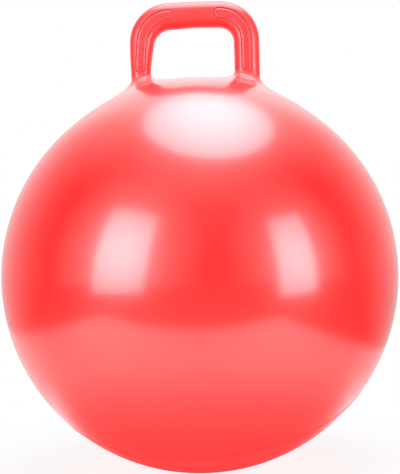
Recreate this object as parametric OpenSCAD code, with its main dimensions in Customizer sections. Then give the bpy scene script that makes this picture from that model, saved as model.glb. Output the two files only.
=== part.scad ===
// Hopper ball: an inflated vinyl ball with a hollow loop handle that stands on two raised
// necks, and a push-in valve plug at the back. Millimetres, +Z up, front towards -Y.
// The origin is the middle of the flat patch on which the ball rests.

/* [Ball] */
// Outside diameter of the inflated ball
ball_d = 450; // [400:5:550]
// Thickness of the vinyl skin
skin_wall = 1.6; // [1.2:0.1:3]
// Depth by which the ball flattens where it rests on the floor
settle = 4; // [2:0.5:8]

/* [Mould line] */
// Distance of the mould line's plane from the middle of the ball
line_drop = 118; // [90:2:150]
// Slope of that plane, which dips towards the front
line_pitch = 21; // [0:1:24]
// Slope of that plane to the side, higher on the right
line_roll = 4.5; // [0:0.5:8]
// Width of the bead that the mould line leaves on the skin
line_w = 2.4; // [1.6:0.2:4]
// Height of that bead above the skin
line_h = 0.8; // [0.4:0.1:0.8]

/* [Necks] */
// Height of the ring of each neck above the ball
neck_h = 7.5; // [5:0.5:12]
// Radius of the concave flare between the ball and the ring
flare_r = 34; // [20:1:40]
// Depth by which the flare runs into the skin at its rim
flare_sink = 0.15; // [0.1:0.05:0.3]
// Ledge that the ring leaves around the edges of a leg
neck_ledge = 0.5; // [0.3:0.1:2]
// Radius of the air passage through each neck
neck_bore_r = 10.5; // [6:0.5:11]

/* [Handle] */
// Width of the handle over both legs
handle_w = 149; // [135:1:170]
// Clear height for the hands between the ball and the middle of the bar
hand_gap = 58.5; // [50:0.5:75]
// Thickness of the handle's tube, seen from the front
grip_w = 29.5; // [27:0.5:34]
// Thickness of the handle's tube, from front to back
grip_d = 30; // [27:0.5:34]
// Rounding of the four edges of the tube
grip_round = 12; // [9:0.5:13]
// Wall of the tube
grip_wall = 3; // [2.5:0.5:4]
// Radius on the inside of each bend
bend_in_r = 17; // [10:1:22]

/* [Grip panels] */
// Width of each recessed grip panel
panel_w = 10.5; // [8:0.5:13]
// Depth of the recess
panel_depth = 1; // [0.6:0.1:1.4]
// Height of the lower end of a panel above the foot of its leg
panel_foot = 8; // [5:1:14]
// Length by which a panel runs on from the bend along the bar
panel_reach = 5; // [4:0.5:10]
// Rounding of the corners of a panel
panel_round = 3.5; // [2:0.5:3.5]
// Width of the groove between the recess's edge and its raised pad
groove_w = 1.5; // [1:0.1:2]
// Height of the raised pad above the floor of the recess
pad_h = 0.6; // [0.3:0.1:0.6]

/* [Valve] */
// Radius of the hole in the skin for the valve seat
valve_hole_r = 15; // [13:0.5:20]
// Radius of the flange that holds the seat against the inside of the skin
flange_r = 24; // [22:0.5:30]
// Thickness of the flange
flange_t = 2.5; // [2:0.5:4]
// Radius of the boss around the bore
boss_r = 9; // [7.5:0.5:12]
// Depth of the boss, from the ball's surface to its inner end
boss_l = 17; // [13:0.5:22]
// Radius of the valve bore
bore_r = 4.6; // [4:0.1:5.2]
// Radius of the recess for the head of the plug
recess_r = 10.2; // [9.5:0.1:12]
// Depth of that recess
recess_d = 3.4; // [2.8:0.1:4]
// Width of the cone that leads into the bore
lead_in = 0.8; // [0.4:0.1:1.2]

/* [Plug] */
// Radius of the head of the plug
head_r = 9.4; // [8:0.1:9.4]
// Thickness of the head at its rim
head_t = 2; // [1.6:0.1:2.2]
// Radius of the rounded rim of the head
head_round = 0.8; // [0.4:0.1:0.8]
// Depth of the dish in the top of the head
dish_d = 0.7; // [0.3:0.1:0.9]
// Length of the stem
stem_l = 15; // [12:0.5:20]
// Depth of the grooves between the sealing rings
ring_h = 0.45; // [0.2:0.05:0.6]
// Width of each sealing ring
ring_w = 1.4; // [1:0.1:2]
// Number of sealing rings
ring_count = 3; // [2:1:4]
// Radius of the hollow in the stem
hollow_r = 2.2; // [1.5:0.1:2.6]

/* [Fits] */
// Bond line between pieces that are welded together
bond = 0.1; // [0.05:0.05:0.3]
// Radial clearance of the sealing rings in the bore
plug_fit = 0.05; // [0.02:0.01:0.1]

/* [Hidden] */
$fn = 96;

vinyl_red = [0.9, 0.09, 0.09];
handle_red = [0.86, 0.05, 0.06];
valve_red = [0.72, 0.05, 0.06];
plug_white = [0.93, 0.93, 0.9];

// Ball and necks, measured from the middle of the ball
ball_r = ball_d / 2;
centre_z = ball_r - settle;
inside_r = ball_r - skin_wall;
ring_r = ball_r + neck_h;
leg_x = (handle_w - grip_w) / 2;
leg_reach = norm([grip_w / 2 - grip_round, grip_d / 2 - grip_round]) + grip_round;
neck_r = leg_reach + neck_ledge;
neck_lean = asin(leg_x / ring_r);
flare_centre_r = ball_r + flare_r - flare_sink;
flare_turn = acos((ring_r * ring_r + flare_centre_r * flare_centre_r - flare_r * flare_r)
    / (2 * ring_r * flare_centre_r));
flare_angle = asin(neck_r / ring_r) + flare_turn;

// Centre line of the handle, in the plane of the loop
bend_r = bend_in_r + grip_w / 2;
bend_x = leg_x - bend_r;
bar_z = ball_r + hand_gap + grip_w / 2;
bend_z = bar_z - bend_r;
foot_z = ring_r * cos(neck_lean);
leg_l = bend_z - ball_r * cos(neck_lean);

// Valve, measured outwards from the middle of the ball
seat_floor = ball_r - recess_d;
head_under = seat_floor + bond;
stem_r = bore_r - plug_fit;
stem_end = head_under - stem_l;
ring_pitch = (seat_floor - lead_in - (ball_r - boss_l)) / ring_count;

// Moves pieces from the middle of the ball to their height above the floor
module on_floor() { translate([0, 0, centre_z]) children(); }

// Turns the Z axis to each neck, left and right
module at_necks() { for (side = [-1, 1]) rotate([0, side * neck_lean, 0]) children(); }

// Turns the Z axis to the valve, in the middle of the back
module at_valve() { rotate([-90, 0, 0]) children(); }

// Half-space above a height
module above(height) { translate([-ball_d, -ball_d, height]) cube(2 * ball_d); }

module rounded_rectangle(width, depth, round) {
    square([width - 2 * round, depth], center = true);
    square([width, depth - 2 * round], center = true);
    for (x = [-1, 1], y = [-1, 1])
        translate([x * (width / 2 - round), y * (depth / 2 - round)]) circle(round);
}

// Half of a neck's cross-section, down to the middle of the ball
module neck_profile() {
    difference() {
        intersection() {
            circle(ring_r);
            polygon([[0, 0], [ball_d * tan(flare_angle), ball_d], [0, ball_d]]);
        }
        rotate(-flare_angle) translate([0, flare_centre_r]) circle(flare_r);
    }
}

// Bead that the joint of the mould leaves around the lower part of the ball
module mould_line() {
    bead_r = (line_w * line_w / 4 + line_h * line_h) / (2 * line_h);
    rotate([line_pitch, -line_roll, 0]) rotate_extrude()
        rotate(-asin(line_drop / ball_r)) translate([ball_r + line_h - bead_r, 0]) circle(bead_r);
}

module ball_skin() {
    color(vinyl_red) on_floor() difference() {
        union() {
            sphere(ball_r);
            mould_line();
            at_necks() rotate_extrude() neck_profile();
        }
        intersection() {
            sphere(inside_r);
            above(skin_wall - centre_z);
        }
        translate([0, 0, -2 * ball_d - centre_z]) above(0);
        at_necks() cylinder(r = neck_bore_r, h = 2 * ball_r);
        at_valve() cylinder(r = valve_hole_r, h = 2 * ball_r);
    }
}

// Runs a section down the right leg from its bend: x is outwards from the loop, y front to back
module down_leg(length) {
    translate([leg_x, 0, bend_z]) mirror([0, 0, 1]) linear_extrude(length) children();
}

// Turns a section round the right bend, from the leg to the bar
module round_bend() {
    translate([bend_x, 0, bend_z]) rotate([90, 0, 0])
        rotate_extrude(angle = 90) translate([bend_r, 0]) children();
}

// Runs a section along the bar, from the right bend towards the left
module along_bar(length) {
    translate([bend_x, 0, bar_z]) rotate([0, -90, 0]) linear_extrude(length) children();
}

// Draws the same on the right and the left
module both_sides() { for (side = [0, 1]) mirror([side, 0, 0]) children(); }

// Runs a section along the whole loop
module along_loop() {
    both_sides() {
        down_leg(leg_l) children();
        round_bend() children();
    }
    along_bar(2 * bend_x) children();
}

// Front and back strips of a grip panel's section, between two depths under the tube's faces
module panel_section(width, from, to) {
    for (side = [-1, 1])
        translate([0, side * (grip_d - from - to) / 2]) square([width, to - from], center = true);
}

// Round corners at an end of a panel, which lies in the plane of its section
module panel_corners(width, round, from, to) {
    for (x = [-1, 1], side = [-1, 1])
        translate([x * (width / 2 - round), side * (grip_d - from - to) / 2, 0])
            rotate([90, 0, 0]) cylinder(r = round, h = to - from, center = true);
}

// Grip panel on the right leg, bend and bar, drawn in from the recess's outline by an inset
module grip_panel(inset, from, to) {
    width = panel_w - 2 * inset;
    round = panel_round - inset;
    leg_part = bend_z - foot_z - panel_foot - panel_round;
    bar_part = panel_reach - panel_round;
    down_leg(leg_part) panel_section(width, from, to);
    down_leg(leg_part + round) panel_section(width - 2 * round, from, to);
    translate([leg_x, 0, bend_z - leg_part]) panel_corners(width, round, from, to);
    round_bend() panel_section(width, from, to);
    along_bar(bar_part) panel_section(width, from, to);
    along_bar(bar_part + round) panel_section(width - 2 * round, from, to);
    translate([bend_x - bar_part, 0, bar_z]) rotate([0, -90, 0]) panel_corners(width, round, from, to);
}

module handle() {
    color(handle_red) on_floor() {
        difference() {
            along_loop() rounded_rectangle(grip_w, grip_d, grip_round);
            along_loop() rounded_rectangle(
                grip_w - 2 * grip_wall, grip_d - 2 * grip_wall, grip_round - grip_wall);
            sphere(ring_r + bond);
            both_sides() grip_panel(0, -panel_depth, panel_depth);
        }
        both_sides() grip_panel(groove_w, panel_depth - pad_h, panel_depth + grip_wall / 4);
    }
}

// Half of the valve seat's cross-section: flange inside the skin, neck in its hole, and boss
module seat_profile() {
    difference() {
        union() {
            intersection() {
                difference() {
                    circle(inside_r - bond);
                    circle(inside_r - bond - flange_t);
                }
                square([flange_r, ball_r]);
            }
            intersection() {
                circle(ball_r);
                translate([0, inside_r - bond - flange_t]) square([valve_hole_r - bond, ball_r]);
            }
            translate([0, ball_r - boss_l]) square([boss_r, boss_l - recess_d]);
        }
        square([bore_r, ball_r]);
        translate([0, seat_floor]) square([recess_r, ball_r]);
        polygon([[0, seat_floor - lead_in - bore_r], [bore_r + lead_in, seat_floor], [0, seat_floor]]);
    }
}

module valve_seat() {
    color(valve_red) on_floor() at_valve() rotate_extrude() seat_profile();
}

// Half of the plug's cross-section: dished head, stem with sealing rings, hollow open inwards
module plug_profile() {
    difference() {
        union() {
            translate([0, head_under]) {
                square([head_r - head_round, head_t]);
                square([head_r, head_t - head_round]);
                translate([head_r - head_round, head_t - head_round]) circle(head_round);
            }
            translate([0, stem_end]) square([stem_r - ring_h, stem_l]);
            for (i = [0:ring_count - 1]) translate([0, seat_floor - lead_in - ring_w - i * ring_pitch])
                polygon([[0, 0], [stem_r - ring_h, 0], [stem_r, ring_w / 2], [stem_r, ring_w],
                    [0, ring_w]]);
        }
        translate([0, stem_end]) square([hollow_r, stem_l - head_t]);
        polygon([[0, head_under + head_t - dish_d], [head_r - 2 * head_round, head_under + head_t],
            [0, head_under + head_t]]);
    }
}

module valve_plug() {
    color(plug_white) on_floor() at_valve() rotate_extrude() plug_profile();
}

ball_skin();
handle();
valve_seat();
valve_plug();
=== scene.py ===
"""Looks of a child's hopper ball: pearl red vinyl skin, looped handle, valve and a plain studio."""

import math

import bmesh
import bpy
import numpy as np
from bpy.props import FloatProperty, FloatVectorProperty, IntProperty, PointerProperty
from mathutils import Euler, Matrix, Vector


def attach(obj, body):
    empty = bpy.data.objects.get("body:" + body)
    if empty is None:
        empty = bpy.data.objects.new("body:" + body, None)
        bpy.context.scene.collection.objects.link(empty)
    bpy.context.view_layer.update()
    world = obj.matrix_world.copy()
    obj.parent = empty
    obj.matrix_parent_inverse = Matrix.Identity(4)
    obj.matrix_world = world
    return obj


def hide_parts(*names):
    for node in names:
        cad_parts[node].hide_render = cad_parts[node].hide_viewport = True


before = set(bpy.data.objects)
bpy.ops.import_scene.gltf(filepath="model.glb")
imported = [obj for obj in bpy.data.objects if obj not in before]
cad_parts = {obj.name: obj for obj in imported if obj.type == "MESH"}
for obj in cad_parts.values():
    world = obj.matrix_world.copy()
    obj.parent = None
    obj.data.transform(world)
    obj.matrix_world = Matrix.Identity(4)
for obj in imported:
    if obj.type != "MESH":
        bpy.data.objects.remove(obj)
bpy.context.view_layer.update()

bl_info = {
    "name": "Hopper ball",
    "version": (1, 0, 0),
    "blender": (4, 5, 0),
    "location": "3D View > Sidebar > Hopper ball",
    "description": "Builds a hopper ball with its looped handle and valve, and a studio around it",
    "category": "Object",
}

BALL = "ball"
PLUG = "plug"
MM = 0.001
FRAME_PIXELS = (400, 474)
SENSOR = 36.0


# Sizes and colours that a user may change


def length(name, description, default):
    """A length in metres, given in millimetres."""
    return FloatProperty(
        name=name, description=description, default=default * MM, min=0.0, unit="LENGTH",
        precision=4,
    )


def angle(name, description, default):
    """An angle, given in degrees."""
    return FloatProperty(
        name=name, description=description, default=math.radians(default), subtype="ANGLE"
    )


def share(name, description, default):
    """A plain number from 0 to 1."""
    return FloatProperty(name=name, description=description, default=default, min=0.0, max=1.0)


def number(name, description, default, least=0.0):
    """A plain number, such as a brightness, that is not below the least one."""
    return FloatProperty(name=name, description=description, default=default, min=least)


def colour(name, description, default):
    """A colour, in linear values."""
    return FloatVectorProperty(
        name=name, description=description, default=default, subtype="COLOR", min=0.0, max=1.0
    )


class BallSizes(bpy.types.PropertyGroup):
    """Sizes of the inflated skin"""

    radius: length("Ball radius", "Radius of the inflated ball", 225)
    skin: length("Skin", "Thickness of the vinyl", 1.6)
    settle: length("Settle", "Depth by which the ball flattens on the floor", 4)
    squash: share("Squash", "Height of the inflated ball as a share of its width", 0.99)
    settle_soft: length("Settle softness", "Height over which the flat patch rounds off", 1.5)
    neck_rise: length("Neck rise", "Height of the steep part of the flare at a leg", 6.4)
    neck_run: length("Neck run", "Distance in which the steep part fades", 6)
    swell_rise: length("Swell rise", "Height of the broad swell around a leg", 4.9)
    saddle_rise: length("Saddle rise", "Height of the swell between the legs", 1.9)
    skirt_side: length("Skirt at the sides", "Width of the concave skirt at the sides of a leg", 2)
    skirt_front: length("Skirt in front", "Width of that skirt in front of a leg and behind it", 6)
    swell_run: length("Swell run", "Distance in which the broad swell fades", 26)
    line_drop: length("Mould line drop", "Distance of the mould line's plane from the middle", 124)
    line_pitch: angle("Mould line pitch", "Slope of that plane towards the front", 21)
    line_roll: angle("Mould line roll", "Slope of that plane to the side", 4.75)
    line_width: length("Mould line width", "Width of the bead", 1.8)
    line_height: length("Mould line height", "Height of the bead above the skin", 0.3)


class HandleSizes(bpy.types.PropertyGroup):
    """Sizes of the looped handle"""

    leg_x: length("Leg offset", "Distance of each leg from the middle", 59.75)
    bar_z: length("Bar height", "Height of the bar's middle above the ball's middle", 298.25)
    bend: length("Bend radius", "Radius of the bends along the middle of the tube", 31.75)
    half_depth: length("Half depth", "Half of the tube from front to back", 15)
    rounding: length("Rounding", "Rounding of the tube's edges at its feet", 12)
    squareness: number("Squareness", "Power of the tube's outline, where 2 is round", 2.6, 2.0)
    bar_squareness: number("Bar squareness", "Power of that outline along the bar", 2.2, 2.0)
    panel_width: length("Panel width", "Width of a grip panel", 12.2)
    panel_low: length("Panel low end", "Height of a panel's low end above the ball's middle", 232.0)
    panel_reach: length("Panel reach", "Length of a panel past the bend along the bar", 5)
    panel_round: length("Panel rounding", "Rounding of a panel's corners", 5.2)
    groove: length("Groove depth", "Depth of the groove around the pad of a panel", 1.1)
    pad: length("Pad depth", "Depth of the pad of a panel below the tube's face", 0.15)
    pip_pitch: length("Pip pitch", "Distance between the pips on a pad", 2.2)
    pip_radius: length("Pip radius", "Radius of a pip", 0.8)
    pip_columns: IntProperty(name="Pip columns", description="Pips across a pad", default=3, min=1)


class ValveSizes(bpy.types.PropertyGroup):
    """Sizes of the valve seat and its plug"""

    hole: length("Skin hole", "Radius of the hole in the skin", 15)
    flange: length("Flange radius", "Radius of the flange inside the skin", 24)
    flange_thick: length("Flange thickness", "Thickness of that flange", 2.5)
    boss: length("Boss radius", "Radius of the boss around the bore", 9)
    boss_length: length("Boss length", "Depth of the boss from the ball's surface", 17)
    bore: length("Bore radius", "Radius of the valve bore", 4.6)
    recess: length("Recess radius", "Radius of the recess for the plug's head", 10.2)
    recess_depth: length("Recess depth", "Depth of that recess", 3.4)
    lead_in: length("Lead-in", "Width of the cone that leads into the bore", 0.8)
    head: length("Head radius", "Radius of the plug's head", 9.4)
    head_thick: length("Head thickness", "Thickness of the head at its rim", 2)
    dish: length("Dish depth", "Depth of the dish in the head", 0.7)
    stem: length("Stem length", "Length of the plug's stem", 15)
    ring: length("Ring height", "Height of the sealing rings", 0.45)
    ring_width: length("Ring width", "Width of a sealing ring", 1.4)
    hollow: length("Hollow radius", "Radius of the hollow in the stem", 2.2)
    clearance: length("Clearance", "Gap between the rings and the bore", 0.05)
    bond: length("Bond line", "Gap between pieces that are joined", 0.1)
    edge: length("Edge rounding", "Rounding of the moulded edges", 0.35)


class Finishes(bpy.types.PropertyGroup):
    """Colours and gloss of the vinyl, rubber and plastic"""

    ball_red: colour("Ball red", "Colour of the skin", (0.90, 0.0075, 0.0060))
    ball_deep: colour("Ball deep red", "Colour of the thicker skin", (0.88, 0.0065, 0.0050))
    # Mould line red is darker than the skin: painted shade, such as a fine groove would hold
    painted_shade_line_red: colour("Mould line red", "Colour of the mould line's bead", (0.58, 0.0050, 0.0040))
    # Neck red is a painted sheen: a paler colour at the feet and on the pads' rims that stands for
    # reflections there
    neck_red: colour("Neck red", "Colour of vinyl at the feet and rims", (0.93, 0.13, 0.13))
    handle_red: colour("Handle red", "Colour of the handle", (0.88, 0.0075, 0.0065))
    # Panel red is darker and pip red paler than the handle: painted shade between the pips, painted
    # highlights on them
    painted_shade_panel_red: colour("Panel red", "Colour of the grip panels", (0.56, 0.012, 0.014))
    painted_highlight_pip_red: colour("Pip red", "Colour of the pips on the grip panels", (0.86, 0.065, 0.070))
    valve_red: colour("Valve red", "Colour of the valve seat", (0.62, 0.018, 0.022))
    plug_white: colour("Plug white", "Colour of the plug", (0.84, 0.84, 0.80))
    skin_rough: share("Skin pearl roughness", "Roughness of the pearl under the skin's gloss", 0.34)
    skin_gloss: share("Skin gloss roughness", "Roughness of the gloss of the skin", 0.15)
    skin_coat: share("Skin gloss", "Strength of the gloss of the skin", 0.9)
    handle_rough: share("Handle pearl roughness", "Roughness of the handle's pearl", 0.6)
    handle_gloss: share("Handle gloss roughness", "Roughness of the gloss of the handle", 0.19)
    handle_coat: share("Handle gloss", "Strength of the gloss of the handle", 0.7)


class Studio(bpy.types.PropertyGroup):
    """Camera and lights"""

    camera_distance: length("Camera distance", "Distance of the camera from the ball", 1282.5)
    camera_rise: angle("Camera rise", "Angle of the camera above the ball's middle", 3.5)
    camera_roll: angle("Camera roll", "Turn of the camera about its own axis", 1.5)
    focal_pixels: number("Focal length", "Focal length in pixels of the frame", 1114.0)
    ball_pixel: FloatVectorProperty(
        name="Ball in the frame", description="Pixel of the ball's middle", size=2,
        default=(199.9, 275.3),
    )
    left_box: number("Left softbox", "Brightness of the left softbox, where 1 is white", 6.9)
    right_box: number("Right softbox", "Brightness of the right softbox", 6.3)
    top_box: number("Top softbox", "Brightness of the softbox above", 6.4)
    screen: number("Screens", "Brightness of the lit screens behind the softboxes", 1.0)
    table: number("Table", "Brightness of the table around the ball", 0.7)
    wall: number("Wall", "Brightness of the wall behind the ball", 0.95)
    high_wall: number("High wall", "Brightness of the lit patch high on that wall", 0.5)
    ceiling: number("Ceiling", "Brightness of the ceiling around the softbox above", 0.65)
    room: number("Room", "Brightness of the room behind the camera", 0.04)
    fill: number("Fill", "Brightness of the room's scattered light", 0.3)
    bounce: number("Bounce", "Brightness of the table's scattered light", 1.6)
    red_glow: number("Red glow", "Brightness of the ball's red light on the table beside it", 0.7)
    shadow: share("Shadow", "Strength of the ball's shadow on the floor", 0.14)


class HopperBall(bpy.types.PropertyGroup):
    """Everything that the panel shows"""

    ball: PointerProperty(type=BallSizes)
    handle: PointerProperty(type=HandleSizes)
    valve: PointerProperty(type=ValveSizes)
    finish: PointerProperty(type=Finishes)
    studio: PointerProperty(type=Studio)


# Node graphs


class Term:
    """A node socket that takes part in sums, each of which adds a Math node to its graph."""

    def __init__(self, graph, socket):
        self.graph = graph
        self.socket = socket

    def sum(self, operation, *terms):
        return self.graph.node("ShaderNodeMath", {"operation": operation}, dict(enumerate(terms)))

    def __add__(self, other):
        return self.sum("ADD", self, other)

    __radd__ = __add__

    def __sub__(self, other):
        return self.sum("SUBTRACT", self, other)

    def __rsub__(self, other):
        return self.sum("SUBTRACT", other, self)

    def __mul__(self, other):
        return self.sum("MULTIPLY", self, other)

    __rmul__ = __mul__

    def __truediv__(self, other):
        return self.sum("DIVIDE", self, other)

    def at_least(self, low):
        return self.sum("MAXIMUM", self, low)

    def smooth(self, low, high):
        """0 below low, 1 above high, and smooth between."""
        return self.graph.node(
            "ShaderNodeMapRange",
            {"interpolation_type": "SMOOTHSTEP"},
            {"Value": self, "From Min": low, "From Max": high},
        )


class Graph:
    """Adds nodes to a tree."""

    def __init__(self, tree):
        self.tree = tree

    def node(self, kind, settings=(), sockets=(), out=0):
        """Makes a node of a kind, sets it up, fills or links its sockets, and returns an output."""
        made = self.tree.nodes.new(kind)
        for name, value in dict(settings).items():
            setattr(made, name, value)
        for key, value in dict(sockets).items():
            socket = self.find(made.inputs, key)
            if isinstance(value, Term):
                self.tree.links.new(value.socket, socket)
            else:
                socket.default_value = value
        return Term(self, self.find(made.outputs, out)) if len(made.outputs) else None

    @staticmethod
    def find(sockets, key):
        """A socket by its place, its identifier or its name."""
        if isinstance(key, int):
            return sockets[key]
        return next((s for s in sockets if s.identifier == key and s.enabled), None) or sockets[key]

    def mix(self, factor, low, high):
        """A colour between two others."""
        return self.node(
            "ShaderNodeMix",
            {"data_type": "RGBA"},
            {"Factor_Float": factor, "A_Color": low, "B_Color": high},
            "Result_Color",
        )

    def axis(self, vector, letter):
        """One part of a vector."""
        return self.node("ShaderNodeSeparateXYZ", (), {"Vector": vector}, letter)

    def dot(self, one, other):
        """The dot product of two vectors."""
        kind = {"operation": "DOT_PRODUCT"}
        return self.node("ShaderNodeVectorMath", kind, {0: one, 1: other}, "Value")

    def attribute(self, name, out="Fac"):
        """A value that the mesh keeps at its points."""
        return self.node("ShaderNodeAttribute", {"attribute_name": name}, (), out)

    def stretched(self, place, scale):
        """A place that is scaled along each axis."""
        return self.node("ShaderNodeMapping", (), {"Vector": place, "Scale": scale})

    def glow(self, tint, strength):
        """Light that a surface gives off."""
        return self.node("ShaderNodeEmission", (), {"Color": tint, "Strength": strength})

    def noise(self, place, scale, detail, roughness):
        """Noise from 0 to 1, at so many features in a metre."""
        return self.node(
            "ShaderNodeTexNoise",
            {"noise_dimensions": "3D"},
            {"Vector": place, "Scale": scale, "Detail": detail, "Roughness": roughness},
            "Fac",
        )


def solid(values):
    return (*values, 1.0)


def surface_graph(name):
    """A new material, its graph and the place of a point on the object."""
    material = bpy.data.materials.new(name)
    material.use_nodes = True
    material.node_tree.nodes.clear()
    graph = Graph(material.node_tree)
    place = graph.node("ShaderNodeTexCoord", out="Object")
    return material, graph, place


def finish_surface(graph, sockets):
    """Ends a material in one surface shader."""
    shader = graph.node("ShaderNodeBsdfPrincipled", (), sockets)
    graph.node("ShaderNodeOutputMaterial", (), {"Surface": shader})


# Noises of the vinyl and the plastic: features in a metre, detail and roughness
SLOW = (9.0, 2.0, 0.5)
GRAIN = (900.0, 2.0, 0.6)
PEEL = (160.0, 2.0, 0.45)
SMEAR = (26.0, 5.0, 0.62)
SCRATCH = (60.0, 4.0, 0.7)
FLOW = (120.0, 3.0, 0.5)
MATT = (1400.0, 2.0, 0.6)
DUST = (300.0, 5.0, 0.7)
# Height of the scuffs above the floor, and the stretch of scratches and flow marks along each axis
SCUFF_TOP = 50 * MM
SCRATCH_STRETCH = (1.0, 1.0, 7.0)
FLOW_STRETCH = (1.0, 3.0, 1.0)
# Roughness of the satin pieces
LINE_ROUGH, PIP_ROUGH, VALVE_ROUGH, PLUG_ROUGH = 0.7, 0.4, 0.38, 0.34
# Colour of the handle's thicker vinyl as a share of its own
HANDLE_DEEP = 0.96


def vinyl(name, light, deep, rough, gloss_rough, coat, neck, scuffed=False, panels=None):
    """Glossy pearl vinyl: slow changes of thickness, pearl grain, faint orange peel and scuffs."""
    material, graph, place = surface_graph(name)
    slow, grain = graph.noise(place, *SLOW), graph.noise(place, *GRAIN)
    peel, smear = graph.noise(place, *PEEL), graph.noise(place, *SMEAR)
    base = graph.mix(slow.smooth(0.3, 0.7), solid(light), solid(deep))
    sparkle = solid([min(1.0, 1.12 * v) for v in light])
    base = graph.mix(grain.smooth(0.45, 0.8) * 0.10, base, sparkle)
    # Painted sheen: a paler colour at the feet and on the pads' rims that stands for reflections
    # there
    base = graph.mix(graph.attribute("neck"), base, solid(neck))
    rough = rough - 0.03 + slow * 0.03 + smear.smooth(0.5, 0.75) * 0.04
    gloss = coat - smear.smooth(0.55, 0.8) * 0.06
    if scuffed:
        low = 1.0 - graph.axis(place, "Z").smooth(0.0, SCUFF_TOP)
        scratch = graph.noise(graph.stretched(place, SCRATCH_STRETCH), *SCRATCH)
        scuffs = low * scratch.smooth(0.55, 0.7)
        gloss = gloss - scuffs * 0.3
        rough = rough + scuffs * 0.12
    if panels:
        panel, groove = graph.attribute("panel"), graph.attribute("groove")
        # Painted shade: the pads take a darker red between the pips
        base = graph.mix(panel, base, solid(panels))
        # Painted shade: the grooves around the pads are darker
        base = graph.mix(groove * 0.85, base, solid([0.6 * v for v in panels]))
        gloss = gloss * (1.0 - panel * 0.2) * (1.0 - groove * 0.8)
        rough = rough + panel * 0.04
    bump = graph.node(
        "ShaderNodeBump", (), {"Strength": 0.06, "Distance": 0.0002, "Height": peel + grain * 0.15}
    )
    finish_surface(
        graph,
        {
            "Base Color": base,
            "Roughness": rough,
            "IOR": 1.5,
            "Specular IOR Level": 0.8,
            "Coat Weight": gloss,
            "Coat Roughness": gloss_rough,
            "Coat IOR": 1.6,
            "Normal": bump,
        },
    )
    return material


def rubbery(name, shade, rough):
    """Satin moulded vinyl or plastic: faint flow marks and a fine matt grain."""
    material, graph, place = surface_graph(name)
    flow = graph.noise(graph.stretched(place, FLOW_STRETCH), *FLOW)
    grain = graph.noise(place, *MATT)
    dust = graph.noise(place, *DUST).smooth(0.6, 0.78)
    base = graph.mix(flow.smooth(0.3, 0.7), solid(shade), solid([0.9 * v for v in shade]))
    base = graph.mix(dust * 0.12, base, solid([0.5 * v + 0.25 for v in shade]))
    bump = graph.node("ShaderNodeBump", (), {"Strength": 0.15, "Distance": 0.0001, "Height": grain})
    rough = rough + flow * 0.08 + dust * 0.1
    finish_surface(graph, {"Base Color": base, "Roughness": rough, "IOR": 1.48, "Normal": bump})
    return material


# Meshes


def show(name, mesh):
    """Puts a mesh into the scene as an object at the origin."""
    piece = bpy.data.objects.new(name, mesh)
    bpy.context.scene.collection.objects.link(piece)
    return piece


def grid_faces(rows, columns):
    """Corners of the faces of a grid whose rows close on themselves."""
    row = np.arange(rows - 1)[:, None] * columns
    column = np.arange(columns)[None, :]
    after = (column + 1) % columns
    corners = [row + column, row + after, row + columns + after, row + columns + column]
    return np.stack([c.ravel() for c in corners], 1).tolist()


def smooth_mesh(name, points, faces, material, weld=0.0, sharp=0.0):
    """A smooth-shaded mesh with outward faces, none with more than four corners."""
    mesh = bpy.data.meshes.new(name)
    mesh.from_pydata(points, [], faces)
    work = bmesh.new()
    work.from_mesh(mesh)
    if weld:
        bmesh.ops.remove_doubles(work, verts=work.verts, dist=weld)
    bmesh.ops.triangulate(work, faces=[f for f in work.faces if len(f.verts) > 4])
    bmesh.ops.recalc_face_normals(work, faces=work.faces)
    work.to_mesh(mesh)
    work.free()
    mesh.shade_smooth()
    if sharp:
        mesh.set_sharp_from_angle(angle=sharp)
    mesh.materials.append(material)
    return mesh


def keep_values(mesh, name, values):
    """Keeps a value at each point of a mesh for its material."""
    kept = mesh.attributes.new(name, "FLOAT", "POINT")
    kept.data.foreach_set("value", values.ravel().astype(np.float32))


def walk(stops):
    """Steps from the first stop to the last, where each stop gives a place and the step there."""
    places, steps = np.array(stops, float).T
    found = [places[0]]
    while found[-1] < places[-1]:
        found.append(found[-1] + np.interp(found[-1], places, steps))
    found = np.array(found)
    return places[0] + (found - places[0]) * (places[-1] - places[0]) / (found[-1] - places[0])


def rounded_distance(u, v, half_u, half_v, rounding):
    """Distance from a rounded rectangle, below zero inside, and how far its side faces along v."""
    du = np.abs(u) - (half_u - rounding)
    dv = np.abs(v) - (half_v - rounding)
    out_u, out_v = np.maximum(du, 0), np.maximum(dv, 0)
    outside = np.hypot(out_u, out_v)
    return outside + np.minimum(np.maximum(du, dv), 0) - rounding, (out_v / (outside + 1e-9)) ** 2


def rise(value, low, high):
    """0 below low, 1 above high, and smooth between."""
    t = np.clip((value - low) / (high - low), 0, 1)
    return t * t * (3 - 2 * t)


# Feet of the legs on the ball: middle and half width of each, which differ in the soft vinyl
FEET = ((-61.45 * MM, 11.0 * MM), (60.25 * MM, 14.5 * MM))
# Gap from a leg in which the swell ends, half length of the saddle, and distances from the loop's
# plane between which the saddle falls off
SWELL_END = (45 * MM, 75 * MM)
SADDLE = 75 * MM
SADDLE_END = (35 * MM, 125 * MM)
# Distance in which the painted sheen, a paler colour that stands for reflections at the feet, fades
PAINTED_SHEEN_FADE = 20 * MM
# First guess of the skin's height at the feet, and how it falls off under a skirt
FOOT_GUESS = 5 * MM
UNDER_SKIRT = 0.35
UNDER_REACH = 4 * MM
# Least half width that the rounding of a foot leaves
FOOT_FLAT = 0.3 * MM
# Rounds in which heights and the places that they depend on settle
ROUNDS = 6
# Share of a direction towards the back at which the squash fades out around the valve
VALVE_ZONE = (0.9, 0.98)


def flare(gap, ball):
    """Height of the flare at a gap from the leg's wall, and how steeply it falls."""
    steep = ball.neck_rise * np.exp(-gap / ball.neck_run)
    broad = ball.swell_rise * np.exp(-gap / ball.swell_run)
    return steep + broad, steep / ball.neck_run + broad / ball.swell_run


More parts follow.
